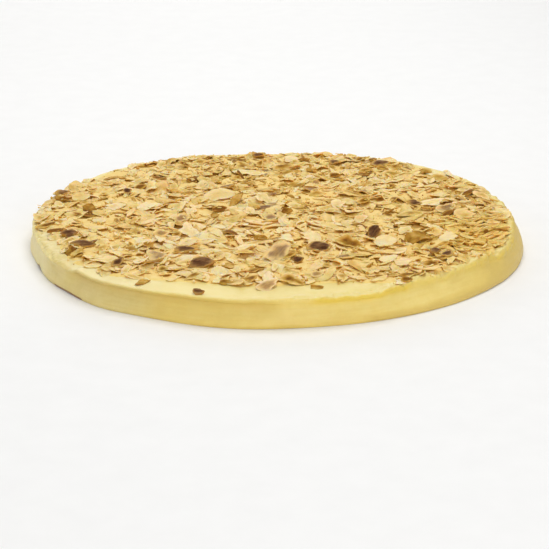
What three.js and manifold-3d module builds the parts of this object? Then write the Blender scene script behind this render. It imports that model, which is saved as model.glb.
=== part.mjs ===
// A flat round almond cake: a low disc coated with smooth yellow buttercream,
// whose top is strewn with a loose layer of toasted flaked almonds.
// Millimetres, +Z up. The origin is the middle of the underside, and -Y is the
// side with the widest bare margin of cream.
import * as THREE from "three";
import { mergeVertices } from "three/addons/utils/BufferGeometryUtils.js";
import Module from "manifold-3d";

const wasm = await Module();
wasm.setup();

// ---- driving dimensions -------------------------------------------------
const CAKE_RADIUS = 140; // widest point of the cream, just above the foot
const CAKE_HEIGHT = 15.4; // flat top of the cream
const FOOT_INSET = 0.4; // the cream curls in a little at the very bottom
const FOOT_HEIGHT = 1.5;
const WAIST_INSET = 1.5; // the side draws in a little under the lip
const WAIST_HEIGHT = 10.2;
const LIP_INSET = 1.1; // the lip's widest point, in from the foot
const LIP_ROUND = 2.3; // round-over from the side to the top
const OUTLINE_WOBBLE = 0.75; // how far the hand-spread side wanders in and out
const LIP_DIP = 1.1; // how far the lip sags between spatula strokes
const LIP_BAND = 9; // width of the sagging band along the lip
const SHOULDER_DROP = 1.5; // the lip sits lower along the soft shoulder at the -X end
// How far the side leans in up to the lip: direction in degrees, depth.
const LEAN = [
  [-180, 0], [-70, 0], [-66.5, 0.5], [-63, 3.4], [-60, 4.0], [-56, 5.4], [-52, 4.4], [-48, 4.6], [-43, 5.8], [-37, 6.0],
  [-32, 5.2], [-28.5, 2.4], [-24, 2.2], [-17, 3.2], [-11, 4.2], [-4, 4.2], [4, 4.0], [12, 3.9], [20, 2.9], [30, 1.8], [50, 0.6], [70, 0], [180, 0],
];
// Where the spread cream stands out or in: direction in degrees, half width, depth.
const BULGES = [
  [-99, 34, 3.0],
  [-132, 22, 1.8],
  [-162, 26, -1.9],
];
// How far the lip hangs over the side: from one direction to another in degrees, depth.
const OVERHANGS = [
  [-137, -94, 2.8],
  [-88, -64, 0.7],
  [-58, -20, 0.3],
];
const CAKE_SEGMENTS = 108;

const TOPPING_GAP = 0.3; // between the cream and the underside of the almonds
// Bare cream between the lip and the almonds: direction in degrees, width.
const BARE = [
  [-180, 1.6], [-174, 2.6], [-167, 5.5], [-159, 7.0], [-151, 6.0], [-142, 4.2], [-133, 5.0], [-125, 7.0], [-118, 11.0],
  [-112, 16.0], [-104, 18.5], [-92, 19.5], [-80, 19.0], [-72, 17.0], [-67, 11.0], [-64, 5.0], [-61, 2.6], [-52, 2.0],
  [-44, 1.6], [-35, 1.6], [-26, 1.8], [-15, 1.6], [0, 2.2], [20, 3.2], [50, 3.2], [70, 2.4], [90, 2.2], [140, 2.2], [180, 1.6],
];
const EDGE_RAGGED = 1.8; // unevenness of the almonds' outline
const FLAKE_PITCH = 11.5; // usual distance between neighbouring flakes
const FLAKE_TILT = 0.2; // steepest rise of a flake
const LAYER_MIN = 0.9; // thinnest spot of the layer
const LAYER_MEAN = 2.3;
const LAYER_SPREAD = 1.5; // flakes lie on each other by up to this
const RELIEF_STEP = 4.9; // the relief's grid
const TOPPING_POINTS = 168; // corners of the ragged outline

// ---- repeatable unevenness ------------------------------------------------
const TAU = Math.PI * 2;

// A number from 0 to 1 that depends only on the whole numbers i, j and k.
function chance(i, j, k) {
  const s = Math.sin(i * 127.1 + j * 311.7 + k * 74.7) * 43758.5453;
  return s - Math.floor(s);
}

// A sum of waves round the cake, between about -1 and 1.
function waves(angle, lowest, highest, seed) {
  let sum = 0;
  let most = 0;
  for (let n = lowest; n <= highest; n++) {
    const weight = 1 / (1 + 0.35 * (n - lowest));
    sum += weight * Math.sin(n * angle + TAU * chance(n, seed, 1));
    most += weight;
  }
  return (1.6 * sum) / most;
}

function smooth(low, high, x) {
  const t = Math.min(1, Math.max(0, (x - low) / (high - low)));
  return t * t * (3 - 2 * t);
}

// An angle in degrees, from -180 to 180.
function degrees(angle) {
  return (Math.atan2(Math.sin(angle), Math.cos(angle)) * 180) / Math.PI;
}

// 1 between two directions in degrees, fading over soft degrees.
function stretch(angle, low, high, soft) {
  const d = degrees(angle);
  return smooth(low - soft, low, d) * (1 - smooth(high, high + soft, d));
}

// How far the cream stands out from the plain round, all the way up.
function standingOut(angle) {
  let sum = 0;
  for (const [where, halfWidth, depth] of BULGES) {
    const off = (degrees(angle - (where * Math.PI) / 180) * Math.PI) / 180;
    sum += depth * Math.exp(-(((off * CAKE_RADIUS) / halfWidth) ** 2));
  }
  return sum;
}

// The value of a table of [degrees, value] in a direction.
function lookUp(table, d) {
  for (let i = 1; i < table.length; i++) {
    const [d0, v0] = table[i - 1];
    const [d1, v1] = table[i];
    if (d <= d1) return v0 + ((v1 - v0) * (Math.max(d, d0) - d0)) / (d1 - d0);
  }
  return table[table.length - 1][1];
}

// How far the side leans in up to the lip, eased a little.
function draft(angle) {
  const d = degrees(angle);
  let sum = 0;
  for (const off of [-1.6, -0.8, 0, 0.8, 1.6]) sum += lookUp(LEAN, d + off);
  return sum / 5;
}

// The lathe turns about Y: stands the ring upright, with +Z up.
function upright(points, segments) {
  return new THREE.LatheGeometry(points, segments).rotateX(Math.PI / 2);
}

// Moves each vertex with move(radius, angle, z), which gives [radius, z].
function reshape(geometry, move) {
  const p = geometry.attributes.position;
  for (let i = 0; i < p.count; i++) {
    const radius = Math.hypot(p.getX(i), p.getY(i));
    const angle = Math.atan2(p.getY(i), p.getX(i));
    const [r, z] = move(radius, angle, p.getZ(i));
    p.setXYZ(i, r * Math.cos(angle), r * Math.sin(angle), z);
  }
  return geometry;
}

// Sets a geometry's box evenly about the Z axis.
function centreOn(geometry, reference) {
  reference.computeBoundingBox();
  const c = reference.boundingBox.getCenter(new THREE.Vector3());
  geometry.translate(-c.x, -c.y, 0);
}

// ---- the cream-coated cake ------------------------------------------------
function cakeGeometry() {
  const side = new THREE.SplineCurve([
    new THREE.Vector2(CAKE_RADIUS - FOOT_INSET, 0),
    new THREE.Vector2(CAKE_RADIUS, FOOT_HEIGHT),
    new THREE.Vector2(CAKE_RADIUS - 0.35 * WAIST_INSET, 0.5 * WAIST_HEIGHT),
    new THREE.Vector2(CAKE_RADIUS - WAIST_INSET, WAIST_HEIGHT),
    new THREE.Vector2(CAKE_RADIUS - LIP_INSET, CAKE_HEIGHT - LIP_ROUND),
  ]);
  const lip = new THREE.EllipseCurve(
    CAKE_RADIUS - LIP_INSET - LIP_ROUND,
    CAKE_HEIGHT - LIP_ROUND,
    LIP_ROUND,
    LIP_ROUND,
    0,
    Math.PI / 2,
  );
  const rim = CAKE_RADIUS - LIP_INSET - LIP_ROUND;
  const profile = [
    new THREE.Vector2(0, 0),
    ...side.getPoints(8),
    ...lip.getPoints(4).slice(1),
    new THREE.Vector2(rim - 0.4 * LIP_BAND, CAKE_HEIGHT),
    new THREE.Vector2(rim - LIP_BAND, CAKE_HEIGHT),
    new THREE.Vector2(0, CAKE_HEIGHT),
  ];
  return reshape(upright(profile, CAKE_SEGMENTS), (r, a, z) => {
    const outer = smooth(0.8 * CAKE_RADIUS, CAKE_RADIUS, r);
    // Near +X the side is upright below and leans in only near the top.
    const late = stretch(a, -18, 55, 10);
    const lean = draft(a) * smooth(1.5 + 4.5 * late, CAKE_HEIGHT - 0.4 + 0.8 * late, z);
    const wander = OUTLINE_WOBBLE * waves(a, 2, 11, 3) + standingOut(a) - lean;
    const bulge = 0.35 * waves(a, 5, 17, 8) * smooth(2, 9, z);
    // Deeper strokes on the +X side, a nearly even lip elsewhere.
    const rough = 0.3 + 0.7 * smooth(-0.2, 0.9, Math.cos(a + 0.25));
    const dip = LIP_DIP * rough * (0.5 + 0.5 * waves(a, 9, 23, 5));
    const near = smooth(CAKE_RADIUS - LIP_INSET - LIP_ROUND - LIP_BAND, CAKE_RADIUS - 3, r);
    const high = smooth(0.6 * CAKE_HEIGHT, CAKE_HEIGHT, z);
    const shoulder = SHOULDER_DROP * stretch(a, -175, -140, 2.5) * smooth(rim - 11, rim + 2, r);
    const dropped = z - (Math.max(0, dip) * near + shoulder) * high;
    // The side draws in under the lip, least at the foot.
    let under = 0;
    for (const [from, to, depth] of OVERHANGS) under += depth * stretch(a, from, to, 6);
    const wall = smooth(0.955 * CAKE_RADIUS, 0.985 * CAKE_RADIUS, r);
    const hollow = under * wall * (1 - smooth(12.2, 13.7, z)) * smooth(1, 10.5, z);
    return [r + (wander + bulge) * outer - hollow, z === 0 ? 0 : dropped];
  });
}

// ---- the almond layer -------------------------------------------------------
// Where the almonds end, measured from the axis.
function toppingReach(angle) {
  const clear = lookUp(BARE, degrees(angle)); // bare cream
  const ragged = EDGE_RAGGED * (0.6 * Math.abs(waves(angle, 5, 19, 11)) + 0.7 * Math.abs(waves(angle, 31, 60, 12)));
  const lip = CAKE_RADIUS - LIP_INSET + standingOut(angle) - draft(angle);
  return lip - clear - ragged * (0.6 + clear / 16);
}

// Height of the flakes at a spot: the nearest flake's own tilted plane.
function flakeHeight(x, y) {
  const row = FLAKE_PITCH * Math.sqrt(0.75);
  const j0 = Math.round(y / row);
  let best = Infinity;
  let height = LAYER_MEAN;
  for (let j = j0 - 2; j <= j0 + 2; j++) {
    const shift = (j & 1) * 0.5;
    const i0 = Math.round(x / FLAKE_PITCH - shift);
    for (let i = i0 - 2; i <= i0 + 2; i++) {
      const cx = (i + shift + 0.7 * (chance(i, j, 1) - 0.5)) * FLAKE_PITCH;
      const cy = (j + 0.7 * (chance(i, j, 2) - 0.5)) * row;
      const turn = TAU * chance(i, j, 3);
      const dx = x - cx;
      const dy = y - cy;
      const along = dx * Math.cos(turn) + dy * Math.sin(turn);
      const across = -dx * Math.sin(turn) + dy * Math.cos(turn);
      const far = along * along * 0.45 + across * across; // flakes are long ovals
      if (far < best) {
        best = far;
        const rise = FLAKE_TILT * (2 * chance(i, j, 4) - 1);
        const roll = FLAKE_TILT * (2 * chance(i, j, 5) - 1);
        const stack = LAYER_SPREAD * (2 * chance(i, j, 6) - 1);
        height = LAYER_MEAN + stack + rise * along + roll * across;
      }
    }
  }
  return Math.max(LAYER_MIN, height);
}

// A closed geometry as a solid for cutting and joining.
function solidOf(geometry) {
  const bare = new THREE.BufferGeometry();
  bare.setAttribute("position", geometry.attributes.position.clone());
  if (geometry.index) bare.setIndex(geometry.index.clone());
  const merged = mergeVertices(bare, 1e-4);
  return new wasm.Manifold(
    new wasm.Mesh({
      numProp: 3,
      vertProperties: new Float32Array(merged.attributes.position.array),
      triVerts: new Uint32Array(merged.index.array),
    }),
  );
}

function geometryOf(solid) {
  const mesh = solid.getMesh();
  const position = new Float32Array(mesh.numVert * 3);
  for (let i = 0; i < mesh.numVert; i++) {
    position.set(mesh.vertProperties.subarray(i * mesh.numProp, i * mesh.numProp + 3), i * 3);
  }
  const geometry = new THREE.BufferGeometry();
  geometry.setAttribute("position", new THREE.BufferAttribute(position, 3));
  geometry.setIndex(new THREE.BufferAttribute(new Uint32Array(mesh.triVerts), 1));
  return geometry;
}

// A slab with the flakes' relief on top, trimmed to the almonds' ragged outline.
function toppingGeometry() {
  const floor = CAKE_HEIGHT + TOPPING_GAP;
  const wide = 2 * CAKE_RADIUS;
  const cells = Math.round(wide / RELIEF_STEP);
  const slab = new THREE.BoxGeometry(wide, wide, 1, cells, cells, 1);
  const p = slab.attributes.position;
  for (let i = 0; i < p.count; i++) {
    p.setZ(i, p.getZ(i) < 0 ? 0 : floor + flakeHeight(p.getX(i), p.getY(i)));
  }
  const rim = new THREE.Shape();
  for (let i = 0; i < TOPPING_POINTS; i++) {
    const angle = (TAU * i) / TOPPING_POINTS;
    const r = toppingReach(angle);
    if (i === 0) rim.moveTo(r, 0);
    else rim.lineTo(r * Math.cos(angle), r * Math.sin(angle));
  }
  const cutter = new THREE.ExtrudeGeometry(rim, { depth: CAKE_HEIGHT, bevelEnabled: false });
  cutter.translate(0, 0, floor);
  return geometryOf(solidOf(slab).intersect(solidOf(cutter)));
}

// ---- the object ---------------------------------------------------------------
const creamGeometry = cakeGeometry();
const almondGeometry = toppingGeometry();
centreOn(almondGeometry, creamGeometry);
centreOn(creamGeometry, creamGeometry);

const cake = new THREE.Mesh(
  creamGeometry,
  new THREE.MeshStandardMaterial({ color: 0xf0d98c, roughness: 0.5, metalness: 0 }),
);
cake.name = "cake";

const topping = new THREE.Mesh(
  almondGeometry,
  new THREE.MeshStandardMaterial({ color: 0xd6ae6a, roughness: 0.65, metalness: 0 }),
);
topping.name = "almond_topping";

const almondCake = new THREE.Group();
almondCake.add(cake, topping);

export default almondCake;
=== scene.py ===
import math

import bpy
import numpy as np
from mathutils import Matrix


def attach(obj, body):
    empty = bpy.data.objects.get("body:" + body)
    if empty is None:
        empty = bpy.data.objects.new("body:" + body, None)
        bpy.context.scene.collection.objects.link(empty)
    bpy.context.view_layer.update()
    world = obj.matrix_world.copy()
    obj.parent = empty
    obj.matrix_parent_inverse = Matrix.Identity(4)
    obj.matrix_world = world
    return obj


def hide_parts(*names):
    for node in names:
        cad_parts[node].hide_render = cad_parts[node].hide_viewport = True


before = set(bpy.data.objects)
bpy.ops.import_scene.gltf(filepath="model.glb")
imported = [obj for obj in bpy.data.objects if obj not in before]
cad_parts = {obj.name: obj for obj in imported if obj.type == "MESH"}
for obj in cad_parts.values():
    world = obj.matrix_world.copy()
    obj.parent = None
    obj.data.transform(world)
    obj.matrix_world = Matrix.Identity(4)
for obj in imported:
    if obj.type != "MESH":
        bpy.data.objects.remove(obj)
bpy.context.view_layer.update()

# A low round almond cake. Lengths below are millimetres, and meshes are made in metres.
MM = 0.001
TAU = 2.0 * math.pi
rng = np.random.default_rng(20)

# ---- the cake's dimensions -------------------------------------------------
CAKE_RADIUS = 140.0
CAKE_HEIGHT = 15.4
FOOT_INSET = 0.4
FOOT_HEIGHT = 1.5
WAIST_INSET = 1.5
WAIST_HEIGHT = 10.2
LIP_INSET = 1.1
LIP_ROUND = 2.3
OUTLINE_WOBBLE = 0.75
LIP_DIP = 1.1
LIP_BAND = 9.0
# How far the side leans in up to the lip: direction in degrees, millimetres.
LEAN = (
    (-180, 0.0), (-70, 0.0), (-66.5, 0.5), (-63, 3.4), (-60, 4.0), (-56, 5.4), (-52, 4.4), (-48, 4.6), (-43, 5.8), (-37, 6.0),
    (-32, 5.2), (-28.5, 2.4), (-24, 2.2), (-17, 3.2), (-11, 4.2), (-4, 4.2), (4, 4.0), (12, 3.9), (20, 2.9), (30, 1.8), (50, 0.6), (70, 0.0), (180, 0.0),
)
BULGES = ((-99, 34, 3.0), (-130, 22, 2.5), (-162, 26, -1.9))  # direction in degrees, half width, depth
# Bare cream between the lip and the almonds: direction in degrees, millimetres.
BARE = (
    (-180, 1.6), (-174, 2.6), (-167, 5.5), (-159, 7.0), (-151, 6.0), (-142, 4.2), (-133, 5.0), (-125, 7.0), (-118, 11.0),
    (-112, 16.0), (-104, 18.5), (-92, 19.5), (-80, 19.0), (-72, 17.0), (-67, 11.0), (-64, 5.0), (-61, 2.6), (-52, 2.0),
    (-44, 1.6), (-35, 1.6), (-26, 1.8), (-15, 1.6), (0, 2.2), (20, 3.2), (50, 3.2), (70, 2.4), (90, 2.2), (140, 2.2), (180, 1.6),
)
EDGE_RAGGED = 1.8
RIM_RADIUS = CAKE_RADIUS - LIP_INSET - LIP_ROUND


# ---- repeatable unevenness --------------------------------------------------
def chance(i, j, k):
    s = np.sin(i * 127.1 + j * 311.7 + k * 74.7) * 43758.5453
    return s - np.floor(s)


def waves(angle, lowest, highest, seed):
    total, most = 0.0, 0.0
    for n in range(lowest, highest + 1):
        weight = 1.0 / (1.0 + 0.35 * (n - lowest))
        total = total + weight * np.sin(n * angle + TAU * chance(n, seed, 1))
        most += weight
    return 1.6 * total / most


def smooth(low, high, x):
    t = np.clip((x - low) / (high - low), 0.0, 1.0)
    return t * t * (3.0 - 2.0 * t)


SHUFFLE = np.random.default_rng(5).permutation(256)
VALUES = np.random.default_rng(6).uniform(-1.0, 1.0, 256)


def noise(x, y, z=0.0):
    """Smooth noise from -1 to 1, about one bump a unit."""
    x, y, z = np.broadcast_arrays(*(np.asarray(v, float) for v in (x, y, z)))
    cell = [np.floor(v) for v in (x, y, z)]
    part = [v - c for v, c in zip((x, y, z), cell)]
    i, j, k = (c.astype(np.int64) for c in cell)
    fx, fy, fz = (p * p * p * (p * (p * 6.0 - 15.0) + 10.0) for p in part)

    def at(a, b, c):
        n = SHUFFLE[(i + a) & 255]
        n = SHUFFLE[(n + j + b) & 255]
        return VALUES[SHUFFLE[(n + k + c) & 255]]

    def along_x(b, c):
        return at(0, b, c) * (1 - fx) + at(1, b, c) * fx

    low = along_x(0, 0) * (1 - fy) + along_x(1, 0) * fy
    high = along_x(0, 1) * (1 - fy) + along_x(1, 1) * fy
    return low * (1 - fz) + high * fz


# ---- the cream's shape --------------------------------------------------------
def from_angle(angle, middle):
    return np.arctan2(np.sin(angle - middle), np.cos(angle - middle))


def spot(angle, middle, half_width):
    """1 at one place round the cake, falling to 0 half_width millimetres away."""
    return np.exp(-((from_angle(angle, math.radians(middle)) * CAKE_RADIUS / half_width) ** 2))


def lifted(angle):
    """How far the cream's lower edge stands off what the cake rests on."""
    x, y = np.cos(angle), np.sin(angle)
    uneven = 0.12 * np.maximum(0.0, noise(9 * x, 9 * y, 2.5))
    return uneven + 0.35 * spot(angle, -141.5, 8) + 2.3 * spot(angle, -159.5, 5.0) + 0.40 * spot(angle, -33, 40)


def draft(angle):
    """How far the side leans in up to the lip."""
    d = np.degrees(np.arctan2(np.sin(angle), np.cos(angle)))
    where, much = zip(*LEAN)
    return sum(np.interp(d + off, where, much) for off in (-1.6, -0.8, 0.0, 0.8, 1.6)) / 5.0


def leaning(angle, z):
    """How far the side has leaned in at a height; late near +X."""
    late = stretch(angle, -18, 55, 10)
    return draft(angle) * smooth(1.5 + 4.5 * late, CAKE_HEIGHT - 0.4 + 0.8 * late, z)


def ridge(angle):
    """How far the cream is pushed up along the lip."""
    return 1.1 * stretch(angle, -64, -31, 3) + 0.5 * stretch(angle, -25, 0, 6) + 1.7 * stretch(angle, 27, 62, 14) + 1.1 * stretch(angle, 116, 138, 12)


def standing_out(angle):
    """Where the spread cream stands out or in, all the way up."""
    return sum(depth * spot(angle, where, width) for where, width, depth in BULGES)


def stretch(angle, low, high, soft):
    """1 between two directions in degrees, fading over soft degrees."""
    half = (high - low) / 2.0
    return 1.0 - smooth(half, half + soft, np.abs(np.degrees(from_angle(angle, math.radians(low + half)))))


def overhang(angle):
    """How far the lip hangs over the side."""
    return 2.8 * stretch(angle, -137, -94, 6) + 0.7 * stretch(angle, -88, -64, 6) + 0.3 * stretch(angle, -58, -20, 6)


def painted_shade_under_lip(angle, z):
    """How much painted shade darkens the cream in the fold under the lip."""
    return 0.58 * stretch(angle, -137, -94, 6) * np.exp(-(((z - 11.6) / 2.6) ** 2))


def painted_yellow_shade_under_lip(angle, z):
    """How much painted shade, deeper yellow and darker, lies on the cream just under the lip."""
    return (0.95 * stretch(angle, -81, -61, 3) + 0.5 * stretch(angle, -57, -20, 5)) * np.exp(-(((z - 13.0) / 2.0) ** 2))


def cream(r, a, z):
    """Where a point of the plain turned profile ends up on the hand-spread cake."""
    outer = smooth(0.8 * CAKE_RADIUS, CAKE_RADIUS, r)
    wander = OUTLINE_WOBBLE * waves(a, 2, 11, 3) + standing_out(a) - leaning(a, z)
    bulge = 0.35 * waves(a, 5, 17, 8) * smooth(2, 9, z)
    rough = 0.3 + 0.7 * smooth(-0.2, 0.9, np.cos(a + 0.25))
    dip = LIP_DIP * rough * (0.5 + 0.5 * waves(a, 9, 23, 5))
    near = smooth(RIM_RADIUS - LIP_BAND, CAKE_RADIUS - 3, r)
    high = smooth(0.6 * CAKE_HEIGHT, CAKE_HEIGHT, z)
    # A soft shoulder at the left, and a sharper, overhanging lip next to it.
    shoulder = 1.5 * stretch(a, -175, -140, 2.5) * smooth(RIM_RADIUS - 11, RIM_RADIUS + 2, r)
    shoulder = shoulder + 0.9 * stretch(a, -132, -116, 6) * smooth(RIM_RADIUS - 8, RIM_RADIUS + 1, r)
    down = (np.maximum(0.0, dip) * near + shoulder) * high
    hollow = overhang(a) * smooth(13.7, 12.2, z) * smooth(1.0, 10.5, z)

    # The edge from the side to the top, crisper where the lip overhangs.
    crisp = 0.62 * stretch(a, -138, -60, 5)
    c, t = np.clip((r - RIM_RADIUS) / LIP_ROUND, 0.0, 1.0), np.clip((z - CAKE_HEIGHT + LIP_ROUND) / LIP_ROUND, 0.0, 1.0)
    turning = (c > 0) & (t > 0) & (t < 1)
    r = np.where(turning, RIM_RADIUS + LIP_ROUND * c ** (1 - crisp), r)
    z = np.where(turning, CAKE_HEIGHT - LIP_ROUND + LIP_ROUND * t ** (1 - crisp), z)

    x, y = r * np.cos(a), r * np.sin(a)
    wall = smooth(0.955 * CAKE_RADIUS, 0.985 * CAKE_RADIUS, r) * smooth(0.2, 1.8, z)
    strokes = (
        0.32 * noise(x / 33, y / 33, z / 9)
        + 0.18 * noise(x / 12, y / 12, z / 2.1 + 5)
        + 0.08 * noise(x / 3.2, y / 3.2, z / 7 + 9)
    )
    foot = 0.55 * np.maximum(0.0, noise(x / 17, y / 17, 4.4)) * np.exp(-((z / 1.7) ** 2)) * smooth(0.9, 0.98, r / CAKE_RADIUS)
    # Lumps pushed over the lip, mostly on the +X side, and a few nicks in it.
    lumpy = 0.10 + 0.90 * smooth(0.30, 0.85, np.cos(a + 0.55)) + 0.75 * stretch(a, -172, -146, 5)
    lip = smooth(RIM_RADIUS - 7, RIM_RADIUS + 0.5, r) * smooth(0.62 * CAKE_HEIGHT, 0.93 * CAKE_HEIGHT, z)
    lumps = lumpy * (2.6 * (np.abs(noise(x / 5.6, y / 5.6, 3.3)) - 0.28) + 1.3 * (np.abs(noise(x / 2.5, y / 2.5, 8.3)) - 0.28))
    nicks = 2.6 * spot(a, -29, 3.0) + 1.8 * spot(a, -49.5, 2.6) + 0.8 * spot(a, -61, 2.4)
    level = (
        0.20 * noise(x / 24, y / 24, 1.7)
        + 0.10 * noise(x / 8, y / 8, 4.1)
        + 0.07 * noise(r / 3.1, 40 * np.cos(a) / 7, 40 * np.sin(a) / 7)
    ) * smooth(0.85 * CAKE_HEIGHT, CAKE_HEIGHT, z)

    pushed = ridge(a) * smooth(RIM_RADIUS - 7.5, RIM_RADIUS - 1.0, r) * smooth(0.6 * CAKE_HEIGHT, 0.97 * CAKE_HEIGHT, z)
    up = level + 0.75 * lumps * lip + pushed - nicks * lip - down
    out = wander * outer + bulge * outer + (strokes - hollow) * wall + foot + 0.5 * lumps * lip - 0.55 * nicks * lip
    return r + out, np.where(z <= 0.0, 0.0, z + up)


def catmull(points, count):
    """Points along a smooth curve through the given ones."""
    p = np.array([points[0], *points, points[-1]], float)
    out = []
    for t in np.linspace(0, len(points) - 1, count):
        i = min(int(t), len(points) - 2)
        f = t - i
        a, b, c, d = p[i : i + 4]
        v0, v1 = (c - a) / 2, (d - b) / 2
        out.append((2 * b - 2 * c + v0 + v1) * f**3 + (-3 * b + 3 * c - 2 * v0 - v1) * f**2 + v0 * f + b)
    return np.array(out)


def cream_profile():
    side = catmull(
        [
            (CAKE_RADIUS - FOOT_INSET, 0.02),
            (CAKE_RADIUS, FOOT_HEIGHT),
            (CAKE_RADIUS - 0.35 * WAIST_INSET, 0.5 * WAIST_HEIGHT),
            (CAKE_RADIUS - WAIST_INSET, WAIST_HEIGHT),
            (CAKE_RADIUS - LIP_INSET, CAKE_HEIGHT - LIP_ROUND),
        ],
        27,
    )
    turn = np.linspace(0, math.pi / 2, 10)[1:]
    lip = np.stack([RIM_RADIUS + LIP_ROUND * np.cos(turn), CAKE_HEIGHT - LIP_ROUND + LIP_ROUND * np.sin(turn)], 1)
    rings = np.concatenate([np.arange(RIM_RADIUS - 0.8, 112, -0.8), np.linspace(112, 6, 9)])
    top = np.stack([rings, np.full(len(rings), CAKE_HEIGHT)], 1)
    return np.concatenate([[(CAKE_RADIUS - 9.0, 0.0)], side, lip, top])


def top_height(x, y):
    """Height of the cream's top, carried on level past its lip."""
    r, a = np.hypot(x, y), np.arctan2(y, x)
    moved = OUTLINE_WOBBLE * waves(a, 2, 11, 3) + standing_out(a) - draft(a)
    plain = r
    for _ in range(3):  # the radius on the plain turned profile
        plain = r - moved * smooth(0.8 * CAKE_RADIUS, CAKE_RADIUS, plain)
    return cream(np.minimum(plain, RIM_RADIUS - 0.5), a, np.full_like(r, CAKE_HEIGHT))[1]


_a = np.linspace(-math.pi, math.pi, 2160, endpoint=False)
_rows = [cream(np.full_like(_a, r), _a, np.full_like(_a, z))[0] for r, z in [(CAKE_RADIUS, FOOT_HEIGHT), (CAKE_RADIUS - LIP_INSET, CAKE_HEIGHT - LIP_ROUND)]]
_r = np.maximum(*_rows)
MEASURED = np.array([0.129, 0.181, 0.0])  # the shift with which the prominent slices were measured
SHIFT = np.array(
    [
        -(np.max(_r * np.cos(_a)) + np.min(_r * np.cos(_a))) / 2,
        -(np.max(_r * np.sin(_a)) + np.min(_r * np.sin(_a))) / 2,
        0.0,
    ]
)


# ---- meshes from arrays ---------------------------------------------------------
def mesh_object(name, verts, loops, starts, uvs=None, points=None, sharp=None, smooth_faces=True):
    """A mesh object from vertices in millimetres, with its corners, attributes and bake map."""
    me = bpy.data.meshes.new(name)
    me.vertices.add(len(verts))
    me.vertices.foreach_set("co", ((verts + SHIFT) * MM).astype(np.float32).ravel())
    me.loops.add(len(loops))
    me.loops.foreach_set("vertex_index", loops.astype(np.int32))
    me.polygons.add(len(starts))
    me.polygons.foreach_set("loop_start", starts.astype(np.int32))
    me.update(calc_edges=True)
    me.polygons.foreach_set("use_smooth", np.full(len(starts), smooth_faces))
    for key, values in (points or {}).items():
        if values.ndim == 2:
            made = me.attributes.new(key, "FLOAT_VECTOR", "POINT")
            made.data.foreach_set("vector", values.astype(np.float32).ravel())
        else:
            made = me.attributes.new(key, "FLOAT", "POINT")
            made.data.foreach_set("value", values.astype(np.float32))
    if uvs is not None:
        layer = me.uv_layers.new(name="OFBake")
        layer.uv.foreach_set("vector", uvs.astype(np.float32).ravel())
    if sharp is not None:
        ends = np.empty(2 * len(me.edges), np.int32)
        me.edges.foreach_get("vertices", ends)
        ends = ends.reshape(-1, 2)
        crisp = (sharp[ends[:, 0]] > 0) & (sharp[ends[:, 0]] == sharp[ends[:, 1]])
        made = me.attributes.new("sharp_edge", "BOOLEAN", "EDGE")
        made.data.foreach_set("value", crisp)
    me.validate()
    ob = bpy.data.objects.new(name, me)
    bpy.context.scene.collection.objects.link(ob)
    return ob


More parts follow.
